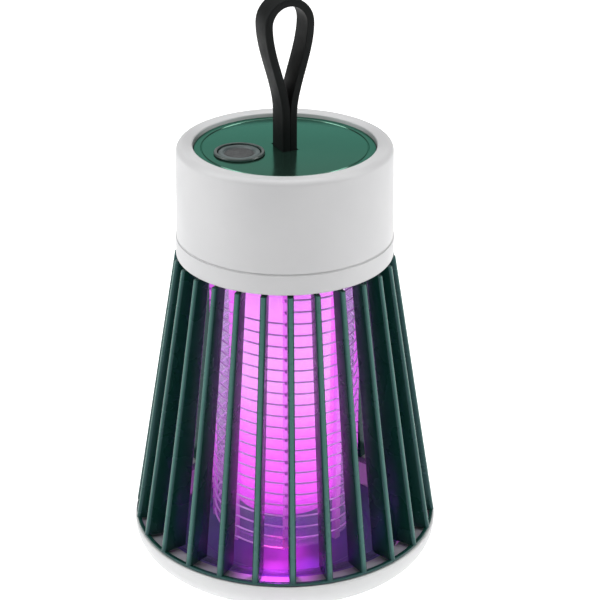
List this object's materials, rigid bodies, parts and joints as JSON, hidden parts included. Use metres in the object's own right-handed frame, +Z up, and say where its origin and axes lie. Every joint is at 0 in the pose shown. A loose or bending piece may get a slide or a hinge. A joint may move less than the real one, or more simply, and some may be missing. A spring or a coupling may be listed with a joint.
{
  "type": "electric bug zapper",
  "caption": "Rechargeable bug zapper lamp: ribbed conical cage round a glowing tube and a wound high-voltage grid, white housing with push button and carrying strap, pull-off dish.",
  "frame": {"origin": "centre of the underside, at the bottom of the rubber feet", "axes": "+Z up along the lamp's axis, -X towards the power button, +Y towards the charging socket"},
  "size_m": [0.1072, 0.1072, 0.2015],
  "materials": {
    "white_plastic": "satin moulded",
    "dark_green_plastic": "glossy moulded",
    "plate_green_plastic": "glossy",
    "button_grey_plastic": "satin",
    "bezel_grey_plastic": "satin",
    "black_silicone": "satin silicone",
    "black_rubber": "matte",
    "clear_silicone": "translucent",
    "frosted_lamp_tube": "frosted, lit from inside",
    "grid_frame_plastic": "translucent",
    "grid_steel_wire": "bright drawn wire",
    "circuit_board": "solder mask",
    "battery_wrap": "shrink wrap",
    "plated_metal": "plated",
    "transformer_ferrite": "ferrite",
    "capacitor_film": "dipped",
    "black_plastic": "moulded",
    "tray_grey_plastic": "satin moulded"
  },
  "bodies": {
    "housing": {"battery_bracket": "black_plastic", "battery_cell": "battery_wrap", "bulkhead": "white_plastic", "button_bezel": "bezel_grey_plastic", "cage_bottom_ring": "dark_green_plastic", "cage_rib_01": "dark_green_plastic", "cage_rib_02": "dark_green_plastic", "cage_rib_03": "dark_green_plastic", "cage_rib_04": "dark_green_plastic", "cage_rib_05": "dark_green_plastic", "cage_rib_06": "dark_green_plastic", "cage_rib_07": "dark_green_plastic", "cage_rib_08": "dark_green_plastic", "cage_rib_09": "dark_green_plastic", "cage_rib_10": "dark_green_plastic", "cage_rib_11": "dark_green_plastic", "cage_rib_12": "dark_green_plastic", "cage_rib_13": "dark_green_plastic", "cage_rib_14": "dark_green_plastic", "cage_rib_15": "dark_green_plastic", "cage_rib_16": "dark_green_plastic", "cage_rib_17": "dark_green_plastic", "cage_rib_18": "dark_green_plastic", "cage_rib_19": "dark_green_plastic", "cage_rib_20": "dark_green_plastic", "cage_rib_21": "dark_green_plastic", "cage_rib_22": "dark_green_plastic", "cage_rib_23": "dark_green_plastic", "cage_rib_24": "dark_green_plastic", "cage_rib_25": "dark_green_plastic", "cage_rib_26": "dark_green_plastic", "cage_top_ring": "dark_green_plastic", "grid_frame": "grid_frame_plastic", "grid_wire_a": "grid_steel_wire", "grid_wire_b": "grid_steel_wire", "housing_screw_1": "plated_metal", "housing_screw_2": "plated_metal", "housing_screw_3": "plated_metal", "hv_capacitor": "capacitor_film", "hv_transformer": "transformer_ferrite", "lamp_cap": "black_plastic", "lamp_diffuser": "frosted_lamp_tube", "lamp_tube": "frosted_lamp_tube", "led_core": "plated_metal", "lower_collar": "white_plastic", "main_pcb": "circuit_board", "strap_root": "black_silicone", "tact_switch": "black_plastic", "top_housing": "white_plastic", "top_plate": "plate_green_plastic", "usb_socket": "plated_metal"},
    "carry_strap": {"strap": "black_silicone"},
    "button": {"power_button": "button_grey_plastic"},
    "port_cover": {"usb_cover": "black_rubber"},
    "seal": {"base_seal": "clear_silicone"},
    "dish": {"base_dish": "white_plastic", "insect_tray": "tray_grey_plastic", "rubber_foot_1": "black_rubber", "rubber_foot_2": "black_rubber", "rubber_foot_3": "black_rubber"}
  },
  "joints": [
    {"name": "power_button_press", "type": "slide", "parent": "housing", "child": "button", "axis": [0, 0, -1], "range_m": [0, 0.0012], "stiffness_N_per_m": 600, "springref_m": -0.001},
    {"name": "strap_fold", "type": "hinge", "parent": "housing", "child": "carry_strap", "pos_m": [0, 0, 0.1532], "axis": [0, 1, 0], "range_deg": [-70, 70], "stiffness_Nm_per_rad": 0.02},
    {"name": "port_cover_swing", "type": "hinge", "parent": "housing", "child": "port_cover", "pos_m": [0, 0.0366, 0.1329], "axis": [-1, 0, 0], "range_deg": [0, 110]},
    {"name": "base_pull", "type": "slide", "parent": "housing", "child": "seal", "axis": [0, 0, -1], "range_m": [0, 0.05]},
    {"name": "base_twist", "type": "hinge", "parent": "seal", "child": "dish", "pos_m": [0, 0, 0.01], "axis": [0, 0, 1], "range_deg": [0, 20]}
  ]
}
